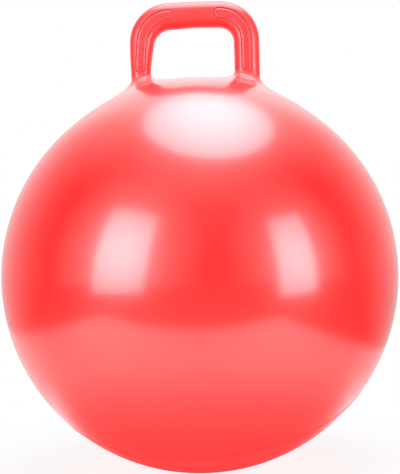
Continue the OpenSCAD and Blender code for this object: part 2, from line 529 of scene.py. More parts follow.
def skirt_width(facing, ball):
    """Width of the concave skirt of a leg, by how far its side faces the front or the back."""
    return ball.skirt_side + (ball.skirt_front - ball.skirt_side) * facing


def saddle(x, y, ball):
    """Height of the broad saddle on which both feet stand."""
    return ball.saddle_rise * np.exp(-((x / SADDLE) ** 4)) * (1 - rise(np.abs(y), *SADDLE_END))


def flare_height(directions, ball, handle):
    """Height of the skin above the round ball around both feet, and how near a foot is, up to 1,
    which sets the painted sheen.
    """
    x, y = ball.radius * directions[:, 0], ball.radius * directions[:, 1]
    upper = directions[:, 2] > 0
    height = saddle(x, y, ball) * upper
    neck = np.zeros_like(height)
    for middle, half_width in FEET:
        foot = np.full(len(directions), FOOT_GUESS)
        rounding = min(handle.rounding, half_width - FOOT_FLAT)
        for _ in range(ROUNDS):
            reach = (ball.radius + foot)[:, None] * directions
            gap, facing = rounded_distance(
                reach[:, 0] - middle, reach[:, 1], half_width, handle.half_depth, rounding
            )
            skirt = skirt_width(facing, ball)
            under = UNDER_SKIRT * np.clip(skirt - gap, 0, UNDER_REACH)
            foot = flare(np.maximum(gap, skirt), ball)[0] - under
            foot = foot * (1 - rise(gap, *SWELL_END))
        height += foot * upper
        neck = np.maximum(neck, np.exp(-np.maximum(gap, 0) / PAINTED_SHEEN_FADE) * upper)
    return height, neck


def sagged(points, ball):
    """Points about the ball's middle, pressed flatter by its weight, but not around the valve."""
    back = points[:, 1] / np.linalg.norm(points, axis=1)
    pressed = points.copy()
    pressed[:, 2] *= 1 - (1 - ball.squash) * (1 - rise(back, *VALVE_ZONE))
    return pressed


def skin_points(directions, ball, handle):
    """Points of the skin in given directions from the middle of the ball."""
    reach = ball.radius + flare_height(directions, ball, handle)[0]
    points = sagged(directions * reach[:, None], ball)
    points[:, 2] += ball.radius - ball.settle
    z, soft = points[:, 2], ball.settle_soft
    part = np.clip(0.5 + 0.5 * z / soft, 0, 1)
    points[:, 2] = z * part + soft * part * (1 - part)
    return points


def skin_normals(directions, ball, handle):
    """Normals of the skin, from small steps to its sides."""
    step = 2e-4
    helper = np.where(np.abs(directions[:, 1:2]) < 0.9, (0, 1, 0), (1, 0, 0))
    aside = np.cross(directions, helper)
    aside /= np.linalg.norm(aside, axis=1)[:, None]
    across = np.cross(directions, aside)

    def moved(way, sign):
        turned = directions + sign * step * way
        return skin_points(turned / np.linalg.norm(turned, axis=1)[:, None], ball, handle)

    normals = np.cross(moved(aside, 1) - moved(aside, -1), moved(across, 1) - moved(across, -1))
    size = np.linalg.norm(normals, axis=1)
    normals[size > 0] /= size[size > 0][:, None]
    return normals * np.sign((normals * directions).sum(1))[:, None]


def settings():
    return bpy.context.scene.hopper_ball


def around(polar, turn):
    """Directions at angles from the valve's axis, and turns about it from the top."""
    polar, turn = np.meshgrid(np.radians(polar), np.radians(turn), indexing="ij")
    aside = np.sin(polar)
    directions = np.stack([aside * np.sin(turn), np.cos(polar), aside * np.cos(turn)], -1)
    return directions.reshape(-1, 3)


# Steps of the skin's faces in degrees: at the feet, elsewhere, and on the inner wall
FINE, COARSE, INNER = 0.3, 1.7, 6
# Angles from the valve's axis, and turns about it, between which the feet stand
FEET_POLAR = ((72, COARSE), (79, FINE), (101, FINE), (108, COARSE))
FEET_TURN = ((-34, COARSE), (-27, FINE), (27, FINE), (34, COARSE))
# Angle from the valve's axis of the last ring, next to the tip in front
LAST_RING = 178


class HOPPER_OT_skin(bpy.types.Operator):
    """Builds the inflated skin with its flared feet, flat patch and valve hole"""

    bl_idname = "hopper.skin"
    bl_label = "Ball skin"

    def execute(self, context):
        sizes = settings()
        ball, handle, finish = sizes.ball, sizes.handle, sizes.finish
        rim = math.degrees(math.asin(sizes.valve.hole / ball.radius))
        around_hole = [(rim, 0.1), (rim + 2, 0.5), (rim + 8, COARSE)]
        polar = walk([*around_hole, *FEET_POLAR, (LAST_RING, COARSE)])
        turn = walk([(-180, COARSE), *FEET_TURN, (180, COARSE)])[:-1]
        columns = len(turn)
        directions = around(polar, turn)
        outer = skin_points(directions, ball, handle)
        front = np.array([(0.0, -1.0, 0.0)])
        inner_polar = walk([(rim, 0.5), (rim + 10, INNER), (LAST_RING, INNER)])[::-1]
        inside = np.concatenate([around(inner_polar, turn), front]) * (ball.radius - ball.skin)
        inside = sagged(inside, ball)
        inside[:, 2] = np.maximum(inside[:, 2] + ball.radius - ball.settle, ball.skin)
        inside, end = inside[:-1], inside[-1:]
        points = np.concatenate([inside, outer, skin_points(front, ball, handle), end])
        rows = len(inner_polar) + len(polar)
        faces = grid_faces(rows, columns)
        last = (rows - 1) * columns
        tip, inner_tip = len(points) - 2, len(points) - 1
        for k in range(columns):
            after = (k + 1) % columns
            faces.append((last + k, last + after, tip))
            faces.append((after, k, inner_tip))
        material = vinyl(
            "pearl_red_vinyl", finish.ball_red, finish.ball_deep, finish.skin_rough,
            finish.skin_gloss, finish.skin_coat, finish.neck_red, scuffed=True,
        )
        mesh = smooth_mesh("ball_skin_vinyl", points.tolist(), faces, material)
        normals = np.zeros((len(points), 3))
        normals[len(inside) + columns : -2] = skin_normals(directions, ball, handle)[columns:]
        normals[-2] = front[0]
        mesh.normals_split_custom_set_from_vertices(normals.tolist())
        necks = np.zeros(len(points))
        # Painted sheen: how much of the paler colour each point of the skin takes near the feet
        necks[len(inside) : -2] = flare_height(directions, ball, handle)[1]
        keep_values(mesh, "neck", necks)
        piece = show("ball_skin_inflated", mesh)
        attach(piece, BALL)
        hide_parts("ball_skin")
        return {"FINISHED"}


def geometry_tree(name, inputs):
    """A geometry tree with named inputs, its graph, and its input sockets and terms by name."""
    tree = bpy.data.node_groups.new(name, "GeometryNodeTree")
    new = tree.interface.new_socket
    new("Geometry", in_out="INPUT", socket_type="NodeSocketGeometry")
    new("Geometry", in_out="OUTPUT", socket_type="NodeSocketGeometry")
    sockets = {
        label: new(label, in_out="INPUT", socket_type=kind) for label, kind in inputs.items()
    }
    graph = Graph(tree)
    source = tree.nodes.new("NodeGroupInput")
    terms = {s.name: Term(graph, s) for s in source.outputs if s.name}
    return tree, graph, sockets, terms


def end_tree(graph, geometry, material):
    """Ends a geometry tree in real geometry with a material."""
    real = graph.node("GeometryNodeRealizeInstances", (), {"Geometry": geometry})
    smooth = graph.node("GeometryNodeSetShadeSmooth", (), {"Geometry": real, "Shade Smooth": True})
    done = graph.node("GeometryNodeSetMaterial", (), {"Geometry": smooth, "Material": material})
    graph.node("NodeGroupOutput", (), {"Geometry": done})


def run_tree(piece, tree, sockets, values):
    """Runs a geometry tree on an object, and keeps the result as its plain mesh."""
    modifier = piece.modifiers.new(tree.name, "NODES")
    modifier.node_group = tree
    for label, value in values.items():
        modifier[sockets[label].identifier] = value
    graph = bpy.context.evaluated_depsgraph_get()
    mesh = bpy.data.meshes.new_from_object(piece.evaluated_get(graph))
    piece.modifiers.remove(modifier)
    mesh.name = piece.name
    piece.data = mesh


# Points along the mould line, and sides of its bead
LINE_POINTS, LINE_SIDES = 480, 20


class HOPPER_OT_mould_line(bpy.types.Operator):
    """Builds the bead that the joint of the mould leaves around the lower part of the ball"""

    bl_idname = "hopper.mould_line"
    bl_label = "Mould line"

    def execute(self, context):
        ball = settings().ball
        half, high = ball.line_width / 2, ball.line_height
        bead = (half * half + high * high) / (2 * high)
        reach = ball.radius + high - bead
        drop = math.asin(ball.line_drop / ball.radius)
        turn = np.linspace(0, 2 * math.pi, LINE_POINTS, endpoint=False)
        ring = np.stack([np.cos(turn), np.sin(turn), 0 * turn - math.tan(drop)], 1)
        tilt = np.array(Euler((ball.line_pitch, -ball.line_roll, 0.0)).to_matrix())
        ring = sagged((ring * reach * math.cos(drop)) @ tilt.T, ball)
        ring[:, 2] += ball.radius - ball.settle
        path = bpy.data.meshes.new("mould_line_bead")
        path.from_pydata(ring.tolist(), [(k, (k + 1) % len(ring)) for k in range(len(ring))], [])
        inputs = {"Bead radius": "NodeSocketFloat"}
        tree, graph, sockets, terms = geometry_tree("bead_along_line", inputs)
        line = graph.node("GeometryNodeMeshToCurve", (), {"Mesh": terms["Geometry"]})
        section = graph.node(
            "GeometryNodeCurvePrimitiveCircle", {"mode": "RADIUS"},
            {"Resolution": LINE_SIDES, "Radius": terms["Bead radius"]},
        )
        curves = {"Curve": line, "Profile Curve": section}
        beaded = graph.node("GeometryNodeCurveToMesh", (), curves)
        # The bead takes a darker red: painted shade along the mould line
        end_tree(graph, beaded, rubbery("mould_line_shaded_vinyl", settings().finish.painted_shade_line_red, LINE_ROUGH))
        piece = show("mould_line_bead", path)
        run_tree(piece, tree, sockets, {"Bead radius": bead})
        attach(piece, BALL)
        return {"FINISHED"}


# Loop of the handle, drawn from the left foot over the bar to the right foot. Lengths of the loop
# and its panels are in millimetres. The tube: where along the loop, its half width, and the offset
# of its middle outwards from the even loop.
LEG_START = 214.0
TUBE = (
    (("left", 214), 10.9, 1.7), (("left", 234), 11.1, 1.5), (("left", 243), 12.0, 1.45),
    (("left", 252), 12.8, 0.65), (("left", 261), 13.5, -0.2), (("left", 268), 14.2, -1.0),
    (("left_bend", 45), 15.2, -1.9), (("bar", -22), 15.3, -1.2), (("bar", 0), 14.7, 0.0),
    (("bar", 22), 14.85, -0.2), (("right_bend", 76), 15.1, -0.3), (("right_bend", 45), 14.9, 0.8),
    (("right", 268), 14.6, 0.5), (("right", 250), 14.5, 0.7), (("right", 214), 14.5, 0.5),
)
# Step along the loop at which the tube's width is kept, and steps over which it is smoothed
LOOP_STEP = 0.5
LOOP_BLUR = 40
# Offset of the right panel from the middle of its leg
RIGHT_LEAN = -1.0


class Loop:
    """The line along the middle of the handle's tube, and the tube's width along it."""

    def __init__(self, handle):
        self.leg_x = handle.leg_x / MM
        self.bar_z = handle.bar_z / MM
        self.bend = handle.bend / MM
        self.bend_x = self.leg_x - self.bend
        self.bend_z = self.bar_z - self.bend
        self.leg = self.bend_z - LEG_START
        self.quarter = math.pi / 2 * self.bend
        self.bar = 2 * self.bend_x
        self.total = 2 * self.leg + 2 * self.quarter + self.bar
        self.fine = np.arange(0, self.total + LOOP_STEP, LOOP_STEP)
        keys = np.array([(self.at(*place), half, out) for place, half, out in TUBE])
        spread = np.exp(-np.linspace(-2, 2, 2 * LOOP_BLUR + 1) ** 2)
        spread /= spread.sum()

        def blurred(values):
            wide = np.pad(np.interp(self.fine, keys[:, 0], values), LOOP_BLUR, "edge")
            return np.convolve(wide, spread, "valid")

        self.half, self.out = blurred(keys[:, 1]), blurred(keys[:, 2])

    def at(self, part, place):
        """Distance along the loop of a place: height on a leg, degrees in a bend, x on the bar."""
        if part == "left":
            return place - LEG_START
        if part == "left_bend":
            return self.leg + math.radians(place) * self.bend
        if part == "bar":
            return self.leg + self.quarter + self.bend_x + place
        return self.total - self.at(part.replace("right", "left"), place)

    def line(self, along):
        """Middle of the even loop and its outward normal in the plane of the loop."""
        along = np.asarray(along, float)
        back = np.minimum(along, self.total - along)
        side = np.where(along <= self.total / 2, -1.0, 1.0)
        turned = np.clip((back - self.leg) / self.bend, 0, math.pi / 2)
        over = np.maximum(back - self.leg - self.quarter, 0)
        x = self.bend_x + self.bend * np.cos(turned) - over
        z = self.bend_z + self.bend * np.sin(turned) + np.minimum(back - self.leg, 0)
        return side * x, z, side * np.cos(turned), np.sin(turned)

    def tube(self, along):
        """Half width of the tube and offset of its middle."""
        return np.interp(along, self.fine, self.half), np.interp(along, self.fine, self.out)

    def lean(self, along):
        """Offset of a panel from the tube's middle: the right one leans inwards down its leg."""
        return RIGHT_LEAN * rise(along, self.total - self.leg - self.quarter, self.total - self.leg)

    def barness(self, along):
        """1 along the bar, 0 along the legs, and smooth between."""
        back = np.minimum(along, self.total - along)
        return rise(back, self.leg + self.quarter / 3, self.leg + self.quarter)

    def panel_ends(self, handle):
        """Ends along the loop of the left and the right panel."""
        low = self.at("left", handle.panel_low / MM)
        high = self.at("bar", -self.bend_x + handle.panel_reach / MM)
        return (low, high), (self.total - high, self.total - low)


# Distances in from a panel's edge: the wall of its groove, the shoulder's start and length, and
# where the groove's painted shade, the painted highlight on the pad's rim and the pad itself begin
# and end
WALL = (0.0, 0.9)
SHOULDER = (1.1, 2.0)
GROOVE_SHADE = ((0.0, 0.4), (1.15, 1.5))
PAINTED_RIM = ((1.2, 1.6), (1.9, 2.8))
PAD = (1.8, 2.8)
# Painted highlight: share of the painted sheen's paler colour on a pad's rim
PAINTED_RIM_HIGHLIGHT = 0.8


def panel_depth(along, across, loop, handle):
    """Depth of the grip panels, and shares that are 1 on a pad, in its groove, where shade is
    painted, and on its rim, where a highlight is painted.
    """
    depth = np.zeros(np.broadcast(along, across).shape)
    inside, groove, rim = np.zeros_like(depth), np.zeros_like(depth), np.zeros_like(depth)
    pad, deep = handle.pad / MM, handle.groove / MM
    for start, end in loop.panel_ends(handle):
        gap = -rounded_distance(
            along - (start + end) / 2, across - loop.lean(along), (end - start) / 2,
            handle.panel_width / MM / 2, handle.panel_round / MM,
        )[0]
        shoulder = 1 - (1 - np.clip((gap - SHOULDER[0]) / SHOULDER[1], 0, 1)) ** 2
        depth += rise(gap, *WALL) * (deep + (pad - deep) * shoulder)
        inside += rise(gap, *PAD)
        rim += rise(gap, *PAINTED_RIM[0]) * (1 - rise(gap, *PAINTED_RIM[1]))
        groove += rise(gap, *GROOVE_SHADE[0]) * (1 - rise(gap, *GROOVE_SHADE[1]))
    return depth, inside, groove, rim


# Steps along the loop: at the feet and the panels, elsewhere, and at the ends of a panel, and how
# far from such an end its fine steps and the change of steps reach
FOOT_STEP, LOOP_COARSE, END_STEP = 0.6, 1.2, 0.25
END_FINE, END_CHANGE = 5, 8
FOOT_LENGTH = 18.0
# Half width of the tube's face, half width of its plain middle, and points across each part
FACE_EDGE, FACE_MIDDLE = 7.2, 2.4
EDGE_POINTS, MIDDLE_POINTS, CORNER_POINTS, SIDE_POINTS = 22, 11, 15, 5
# Part of the tube's depth left to its flat sides, and the skirt's height as a share of its slope
FLAT_SIDE = 1
SKIRT_HEIGHT = 3


class HOPPER_OT_handle(bpy.types.Operator):
    """Builds the loop of the handle with its recessed grip panels"""

    bl_idname = "hopper.handle"
    bl_label = "Loop handle"

    def execute(self, context):
        sizes = settings()
        ball, handle, finish = sizes.ball, sizes.handle, sizes.finish
        loop = Loop(handle)
        stops = [(0.0, FOOT_STEP), (FOOT_LENGTH, FOOT_STEP), (loop.total - FOOT_LENGTH, FOOT_STEP)]
        for ends in loop.panel_ends(handle):
            for end in ends:
                stops += [(end - END_CHANGE, LOOP_COARSE), (end - END_FINE, END_STEP),
                          (end + END_FINE, END_STEP), (end + END_CHANGE, LOOP_COARSE)]
        stops.append((loop.total, FOOT_STEP))
        along = walk(sorted(stops))[:, None]
        half, out = loop.tube(along)
        across, y, marks, power, depth = self.section(along, half, loop, handle)
        x, z, nx, nz = loop.line(along)
        px, pz = x + (out + across) * nx, z + (out + across) * nz
        facing_x = (np.abs(across) / half) ** (power - 1) / half
        facing_y = (np.abs(y) / depth) ** (power - 1) / depth
        facing = facing_y**2 / (facing_x**2 + facing_y**2)
        skirt = skirt_width(facing, ball)
        low, steep = flare(skirt, ball)
        low = low + saddle(px * MM, y * MM, ball)
        side_x = np.sqrt(1 - facing) * np.sign(across) * np.sign(nx)
        side_y = np.sqrt(facing) * np.sign(y)
        on_leg = pz < loop.bend_z
        grown = np.zeros_like(px)
        for _ in range(ROUNDS):
            wide_x, wide_y = px + grown * side_x, y + grown * side_y
            height = np.sqrt(wide_x**2 + wide_y**2 + (pz / ball.squash) ** 2) * MM - ball.radius
            left = 1 - np.clip((height - low) / (SKIRT_HEIGHT * skirt * steep), 0, 1)
            grown = skirt / MM * left**3 * on_leg
        px, y = px + grown * side_x, y + grown * side_y
        # Painted sheen on the handle: the pads' rims at a share, and the skirt at each foot in full
        marks["neck"] = np.maximum(PAINTED_RIM_HIGHLIGHT * marks["neck"], left * on_leg)
        rows, columns = px.shape
        points = np.stack([px, y, pz + (ball.radius - ball.settle) / MM], -1).reshape(-1, 3) * MM
        faces = grid_faces(rows, columns)
        faces.append(tuple(range(columns))[::-1])
        faces.append(tuple(range((rows - 1) * columns, rows * columns)))
        material = vinyl(
            "handle_red_vinyl", finish.handle_red, [HANDLE_DEEP * v for v in finish.handle_red],
            finish.handle_rough, finish.handle_gloss, finish.handle_coat, finish.neck_red,
            panels=finish.painted_shade_panel_red,
        )
        mesh = smooth_mesh("loop_handle", points.tolist(), faces, material)
        for name, values in marks.items():
            keep_values(mesh, name, values)
        piece = show("loop_handle_tube", mesh)
        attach(piece, BALL)
        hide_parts("handle")
        return {"FINISHED"}

    def section(self, along, half, loop, handle):
        """Outline of the tube along the loop, what marks its material, and its power and depth."""
        depth = handle.half_depth / MM
        power = handle.squareness
        power = power + (handle.bar_squareness - handle.squareness) * loop.barness(along)
        rim = np.linspace(FACE_MIDDLE, FACE_EDGE, EDGE_POINTS)
        plain = np.linspace(-FACE_MIDDLE, FACE_MIDDLE, MIDDLE_POINTS)[1:-1]
        face = np.concatenate([-rim[::-1], plain, rim])
        start = np.arcsin((FACE_EDGE / half) ** (power / 2))
        end = np.arccos((FLAT_SIDE / depth) ** (power / 2))
        swing = start + (end - start) * np.linspace(0, 1, CORNER_POINTS)[1:]
        side_across = half * np.sin(swing) ** (2 / power)
        side_depth = depth * np.cos(swing) ** (2 / power)
        face_depth = depth * (1 - np.abs(face / half) ** power) ** (1 / power)
        sunk, *shares = panel_depth(along, face, loop, handle)
        face_across = np.broadcast_to(face, face_depth.shape)
        front_across = np.concatenate([-side_across[:, ::-1], face_across, side_across], 1)
        front_y = np.concatenate([side_depth[:, ::-1], face_depth - sunk, side_depth], 1)
        between = np.linspace(0, 1, SIDE_POINTS)[1:-1]
        side = side_depth[:, -1:] * (1 - 2 * between) + 0 * half

        def round_tube(front, right, back, left):
            return np.concatenate([front, right, back[:, ::-1], left], 1)

        across = round_tube(front_across, half + 0 * side, front_across, -half + 0 * side)
        y = round_tube(-front_y, -side, front_y, side)
        marks = {}
        for name, values in zip(("panel", "groove", "neck"), shares):
            values = np.pad(values, ((0, 0), (CORNER_POINTS - 1, CORNER_POINTS - 1)))
            marks[name] = round_tube(values, 0 * side, values, 0 * side)
        return across, y, marks, power, depth


# Gap between the end of a panel and its pips, and points along the line that the pips follow
PIP_START = 2.6
PIP_POINTS = 120
# Height of a pip as a share of its radius
PIP_FLAT = 0.7


class HOPPER_OT_pips(bpy.types.Operator):
    """Builds the rows of pips on the pads of the grip panels"""

    bl_idname = "hopper.pips"
    bl_label = "Grip pips"

    def execute(self, context):
        sizes = settings()
        ball, handle = sizes.ball, sizes.handle
        loop = Loop(handle)
        points, edges = [], []
        face = handle.half_depth - handle.pad
        for start, end in loop.panel_ends(handle):
            along = np.linspace(start + PIP_START, end - PIP_START, PIP_POINTS)
            x, z, nx, nz = loop.line(along)
            out = loop.tube(along)[1] + loop.lean(along)
            for side in (-1, 1):
                first = len(points)
                for px, pz in zip(x + out * nx, z + out * nz):
                    points.append((px * MM, side * face, pz * MM + ball.radius - ball.settle))
                edges += [(k, k + 1) for k in range(first, len(points) - 1)]
        path = bpy.data.meshes.new("grip_pips")
        path.from_pydata(points, edges, [])
        inputs = dict.fromkeys(("Pitch", "Pip radius"), "NodeSocketFloat")
        inputs["Columns"] = "NodeSocketInt"
        tree, graph, sockets, terms = geometry_tree("pips_along_pads", inputs)
        pitch, columns = terms["Pitch"], terms["Columns"]
        line = graph.node("GeometryNodeMeshToCurve", (), {"Mesh": terms["Geometry"]})
        line = graph.node(
            "GeometryNodeResampleCurve", {"mode": "LENGTH"}, {"Curve": line, "Length": pitch}
        )
        way = graph.node("GeometryNodeInputTangent")
        aside = graph.node(
            "ShaderNodeVectorMath", {"operation": "CROSS_PRODUCT"}, {0: way, 1: (0.0, 1.0, 0.0)},
            "Vector",
        )
        turned = graph.node("FunctionNodeAlignRotationToVector", {"axis": "X"}, {"Vector": aside})
        width = pitch * (columns - 1.0)
        row = graph.node("GeometryNodeMeshLine", {"mode": "END_POINTS", "count_mode": "TOTAL"}, {
            "Count": columns,
            "Start Location": graph.node("ShaderNodeCombineXYZ", (), {"X": width * -0.5}),
            "Offset": graph.node("ShaderNodeCombineXYZ", (), {"X": width * 0.5}),
        })
        rows = graph.node(
            "GeometryNodeInstanceOnPoints", (),
            {"Points": line, "Instance": row, "Rotation": turned},
        )
        spots = graph.node("GeometryNodeRealizeInstances", (), {"Geometry": rows})
        pip = graph.node(
            "GeometryNodeMeshUVSphere", (),
            {"Segments": 8, "Rings": 5, "Radius": terms["Pip radius"]},
        )
        pips = graph.node(
            "GeometryNodeInstanceOnPoints", (),
            {"Points": spots, "Instance": pip, "Scale": (1.0, PIP_FLAT, 1.0)},
        )
        # Painted highlights: the pips take a paler red
        end_tree(graph, pips, rubbery("grip_pip_highlit_vinyl", settings().finish.painted_highlight_pip_red, PIP_ROUGH))
        piece = show("grip_panel_pips", path)
        run_tree(piece, tree, sockets, {
            "Pitch": handle.pip_pitch,
            "Pip radius": handle.pip_radius,
            "Columns": handle.pip_columns,
        })
        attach(piece, BALL)
        return {"FINISHED"}


# Sides of a turned piece, the angle above which its edges stay sharp, and the gap that is welded
LATHE_SIDES = 128
LATHE_SHARP = math.radians(50)
LATHE_WELD = 1e-7
# Places along the arc that rounds a corner
ARC = (0.0, 0.25, 0.5, 0.75, 1.0)


def softened(profile, rounding):
    """A lathe profile with each inner corner cut back by a small arc."""
    points = [Vector(p) for p in profile]
    done = []
    for k, point in enumerate(points):
        if k in (0, len(points) - 1):
            done.append(tuple(point))
            continue
        before, after = points[k - 1] - point, points[k + 1] - point
        cut = min(rounding, 0.45 * before.length, 0.45 * after.length)
        start, end = point + before.normalized() * cut, point + after.normalized() * cut
        for t in ARC:
            done.append(tuple((1 - t) ** 2 * start + 2 * t * (1 - t) * point + t * t * end))
    return done


def lathe(name, profile, ball, material):
    """Turns a profile of radius and distance from the ball's middle about the valve's axis."""
    profile = np.array(profile)
    turn = np.linspace(0, 2 * math.pi, LATHE_SIDES, endpoint=False)
    radius, reach = profile[:, :1], profile[:, 1:]
    height = radius * np.sin(turn) + ball.radius - ball.settle
    points = np.stack([radius * np.cos(turn), reach + 0 * turn, height], -1).reshape(-1, 3)
    faces = grid_faces(len(profile), LATHE_SIDES)
    mesh = smooth_mesh(name, points.tolist(), faces, material, LATHE_WELD, LATHE_SHARP)
    return show(name, mesh)


class HOPPER_OT_valve_seat(bpy.types.Operator):
    """Builds the valve seat with its flange, boss, recess and bore"""

    bl_idname = "hopper.valve_seat"
    bl_label = "Valve seat"

    def execute(self, context):
        sizes = settings()
        ball, valve = sizes.ball, sizes.valve
        top, floor = ball.radius, ball.radius - valve.recess_depth
        under = ball.radius - ball.skin - valve.bond

        def on_ball(radius, reach):
            return (radius, math.sqrt(reach * reach - radius * radius))

        collar = valve.hole - valve.bond
        profile = [
            (valve.bore, top - valve.boss_length), (valve.bore, floor - valve.lead_in),
            (valve.bore + valve.lead_in, floor), (valve.recess, floor), on_ball(valve.recess, top),
            on_ball((valve.recess + collar) / 2, top), on_ball(collar, top), on_ball(collar, under),
            on_ball(valve.flange, under), on_ball(valve.flange, under - valve.flange_thick),
            on_ball(valve.boss, under - valve.flange_thick), (valve.boss, top - valve.boss_length),
        ]
        closed = softened(profile + profile[:1], valve.edge)
        material = rubbery("valve_red_vinyl", sizes.finish.valve_red, VALVE_ROUGH)
        piece = lathe("valve_seat_collar", closed, ball, material)
        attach(piece, BALL)
        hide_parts("valve_seat")
        return {"FINISHED"}


# Sealing rings of the plug, and width of the rim of its head
PLUG_RINGS = 3
HEAD_RIM = 1.6 * MM


class HOPPER_OT_valve_plug(bpy.types.Operator):
    """Builds the push-in plug with its dished head, hollow stem and sealing rings"""

    bl_idname = "hopper.valve_plug"
    bl_label = "Valve plug"

    def execute(self, context):
        sizes = settings()
        ball, valve = sizes.ball, sizes.valve
        floor = ball.radius - valve.recess_depth
        under = floor + valve.bond
        end, top = under - valve.stem, under + valve.head_thick
        ring_r = valve.bore - valve.clearance
        stem_r = ring_r - valve.ring
        pitch = (valve.boss_length - valve.recess_depth - valve.lead_in) / PLUG_RINGS
        hollow_end = end + valve.stem - valve.head_thick
        profile = [
            (0.0, top - valve.dish), (valve.head - HEAD_RIM, top), (valve.head, top),
            (valve.head, under), (stem_r, under),
        ]
        for k in range(PLUG_RINGS):
            high = floor - valve.lead_in - k * pitch
            profile += [
                (stem_r, high), (ring_r, high), (ring_r, high - valve.ring_width / 2),
                (stem_r, high - valve.ring_width),
            ]
        profile += [
            (stem_r, end), (valve.hollow, end), (valve.hollow, hollow_end), (0.0, hollow_end)
        ]
        material = rubbery("plug_white_plastic", sizes.finish.plug_white, PLUG_ROUGH)
        piece = lathe("valve_plug_stopper", softened(profile, valve.edge), ball, material)
        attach(piece, PLUG)
        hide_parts("valve_plug")
        return {"FINISHED"}


# Studio: a white table, two softboxes in front, a round one above, and a pale wall behind. The
# outlines of the softboxes and the edges of the table are where their reflections on the ball end.
WHITE = (1.0, 1.0, 1.0, 1.0)
COOL = (0.965, 1.0, 1.06, 1.0)
RED = (1.0, 0.02, 0.02, 1.0)
PALE = (0.9, 0.9, 0.9, 1.0)
# Softboxes in front: outline, hot spot, reach and fall of the glow, azimuth and lift
BOX_DISTANCE = 1.2
LEFT_BOX = (
    ((-0.265, -0.365), (0.355, -0.365), (0.43, 0.52), (-0.14, 0.52)),
    (0.09, 0.08), (0.8, 0.45), 0.5, -44, 12,
)
RIGHT_BOX = (
    ((-0.32, -0.455), (0.165, -0.40), (0.08, 0.37), (-0.32, 0.37)),
    (-0.1, -0.04), (0.8, 0.42), 0.45, 54, 12,
)
# Softbox above: height, corners, middle, half width, half depth to the back and to the front, and
# its hot spot with the reach and fall of the glow
TOP_HEIGHT = 1.0
TOP_CORNERS = 64
TOP_MIDDLE = (0.10, 0.05)
TOP_WIDE, TOP_BACK, TOP_FRONT = 0.45, 0.61, 0.52
TOP_GLOW = ((0.10, -0.12), (0.57, 0.72), 0.72)
# Lit screens behind the softboxes and above the camera: azimuth, lift, half angle and brightness
SCREENS = ((-44, 12, 47, 1.0), (54, 12, 40, 0.8), (3, 48, 40, 0.32))
# Room: where the wall begins, its brightness level and upwards, the direction and the edges of the
# lit patch high on it, and the edges of the ceiling
WALL_START = 0.05
WALL_LEVEL, WALL_UP = 0.85, 0.4
HIGH_BACK, HIGH_UP = 0.75, 0.66
HIGH_EDGE = (0.86, 1.0)
CEILING_EDGE = (0.55, 1.0)
# Table: its left, right and near edge, each as where it begins and ends to fade
TABLE_LEFT = (-0.76, -0.60)
TABLE_RIGHT = (0.43, 0.51)
TABLE_NEAR = (-0.65, -0.55)
# How its light falls off to the back, and is more to the sides
TABLE_FRONT = (-0.42, -0.05)
TABLE_REAR_PART, TABLE_FRONT_PART = 0.85, 0.95
SIDE_LEVEL, LEFT_LESS, RIGHT_MORE = 1.35, 0.3, 0.25
LEFT_REACH, RIGHT_REACH = (-0.4, 0.0), (0.0, 0.3)
# Painted shadow on the table under the ball, which reflections see: shares of its light there and
# at distances from the middle
TABLE_SHADOW_LEVEL = 0.07
TABLE_SHADOW_STEPS = ((0.08, 0.04, 0.1), (0.85, 0.11, 0.37))
# Light on the table behind the ball and to its sides
REAR_LIGHT = 1.2
REAR_EDGE, REAR_REACH = (-0.06, 0.06), (0.2, 0.36)
BESIDE = (0.0, 0.015)
# Distances from the middle at which the red glow and the shadow fade, and the floor's half width
# and its depth below the ball
GLOW_REACH, SHADOW_REACH = (0.12, 0.36), (0.16, 0.4)
FLOOR_HALF, FLOOR_DEPTH = 6.0, 0.2 * MM


def glow_panel(name, outline, hot, reach, fall, place, right, up, brightness):
    """A softbox, brightest at its hot spot, that lights the ball but is not seen by the camera."""
    spots = np.concatenate([[hot], outline])
    points = np.array(place) + spots[:, :1] * np.array(right) + spots[:, 1:] * np.array(up)
    count = len(outline)
    mesh = bpy.data.meshes.new(name)
    mesh.from_pydata(points.tolist(), [], [(0, 1 + k, 1 + (k + 1) % count) for k in range(count)])
    spread = np.pad((spots - np.array(hot)) / np.array(reach), ((0, 0), (0, 1)))
    mesh.attributes.new("spread", "FLOAT_VECTOR", "POINT").data.foreach_set(
        "vector", spread.astype(np.float32).ravel()
    )
    material, graph, _ = surface_graph(name)
    out = graph.attribute("spread", "Vector")
    strength = (1.0 - graph.dot(out, out) * fall) * brightness
    light = graph.glow(COOL, strength.at_least(0.0))
    graph.node("ShaderNodeOutputMaterial", (), {"Surface": light})
    mesh.materials.append(material)
    box = show(name, mesh)
    box.visible_camera = False


def towards(azimuth, lift):
    """The direction at an azimuth from the front and a lift, both in degrees."""
    azimuth, lift = math.radians(azimuth), math.radians(lift)
    flat = math.cos(lift)
    return Vector((math.sin(azimuth) * flat, -math.cos(azimuth) * flat, math.sin(lift)))


def facing_panel(name, outline, hot, reach, fall, azimuth, lift, middle, brightness):
    """A softbox that faces the ball from an azimuth to the front and a lift."""
    away = towards(azimuth, lift)
    right = Vector((0.0, 0.0, 1.0)).cross(away).normalized()
    place = Vector((0, 0, middle)) + away * BOX_DISTANCE
    glow_panel(name, outline, hot, reach, fall, place, right, right.cross(-away), brightness)


def light_path(graph):
    """Shares of rays from the camera, of reflected rays and of scattered rays."""
    kinds = ("Camera", "Glossy", "Diffuse")
    return [graph.node("ShaderNodeLightPath", out=f"Is {kind} Ray") for kind in kinds]


